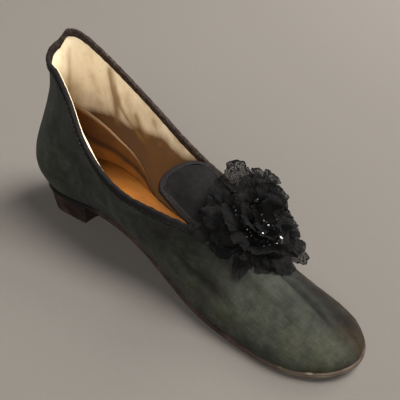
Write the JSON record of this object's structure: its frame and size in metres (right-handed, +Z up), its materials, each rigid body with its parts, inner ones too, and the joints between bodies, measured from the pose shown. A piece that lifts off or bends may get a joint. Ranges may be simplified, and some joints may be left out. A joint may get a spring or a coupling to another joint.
{
  "type": "slipper",
  "caption": "Low-heeled satin house slipper with a high back, bound collar, tongue, gathered net rosette and thin leather sole, for the left foot.",
  "frame": {"origin": "on the floor, below the middle of the bounding box", "axes": "+X from heel to toe, +Y to the wearer's left, +Z up from the floor"},
  "size_m": [0.2456, 0.0672, 0.1088],
  "materials": {
    "heel_leather": "dark brown stacked leather, dull",
    "insole_leather": "tan sock leather, rubbed and stained",
    "net": "black gathered net, matt",
    "ribbon": "dark purple-brown ribbon, matt",
    "satin": "faded black satin with a soft greenish sheen",
    "sole_leather": "worn brown sole leather with a dull edge"
  },
  "bodies": {
    "root": {"collar_binding": "ribbon", "heel": "heel_leather", "insole": "insole_leather", "outsole": "sole_leather", "rosette": "net", "tongue": "satin", "upper": "satin"}
  },
  "joints": []
}
